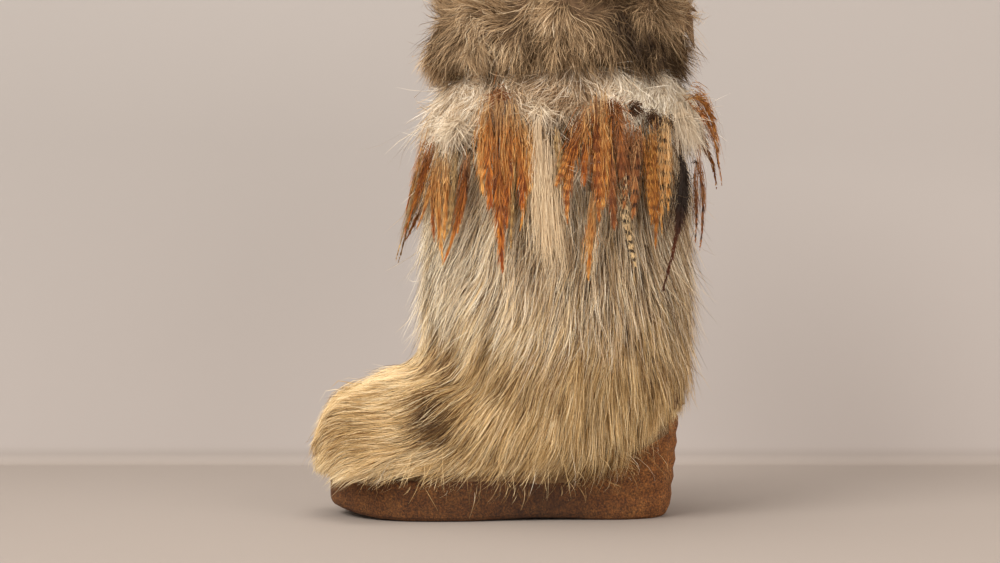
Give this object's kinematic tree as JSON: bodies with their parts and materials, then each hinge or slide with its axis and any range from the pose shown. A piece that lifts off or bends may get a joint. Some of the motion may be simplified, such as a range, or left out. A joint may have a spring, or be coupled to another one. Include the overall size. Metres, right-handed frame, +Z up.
{
  "type": "fur boot",
  "caption": "Tall left fur boot on a ribbed crepe wedge sole, with long hair on foot and shaft, a downy band, hanging feather tufts and a fluffy fur cuff.",
  "frame": {"origin": "on the ground, under the middle of the heel", "axes": "+Z up along the shaft, -Y towards the toe, +X towards the outer side of the left foot"},
  "size_m": [0.2061, 0.3369, 0.4275],
  "materials": {
    "crepe": "rough matt crepe rubber",
    "hide": "suede side of the hide",
    "footbed": "pressed felt",
    "body_fur": "long straw and grey guard hair over a soft undercoat",
    "down": "pale soft down",
    "cuff_fur": "fluffy grey-brown fur",
    "feathers": "barred brown feathers with a slight sheen"
  },
  "bodies": {
    "root": {"crepe_sole": "crepe", "upper": "hide", "shaft": "hide", "insole": "footbed", "body_hair": "body_fur", "downy_band": "down", "cuff": "cuff_fur", "feather_tuft_01": "feathers", "feather_tuft_02": "feathers", "feather_tuft_03": "feathers", "feather_tuft_04": "feathers", "feather_tuft_05": "feathers", "feather_tuft_06": "feathers", "feather_tuft_07": "feathers", "feather_tuft_08": "feathers", "feather_tuft_09": "feathers", "feather_tuft_10": "feathers", "feather_tuft_11": "feathers", "feather_tuft_12": "feathers", "feather_tuft_13": "feathers", "feather_tuft_14": "feathers", "feather_tuft_15": "feathers", "feather_tuft_16": "feathers"}
  },
  "joints": []
}
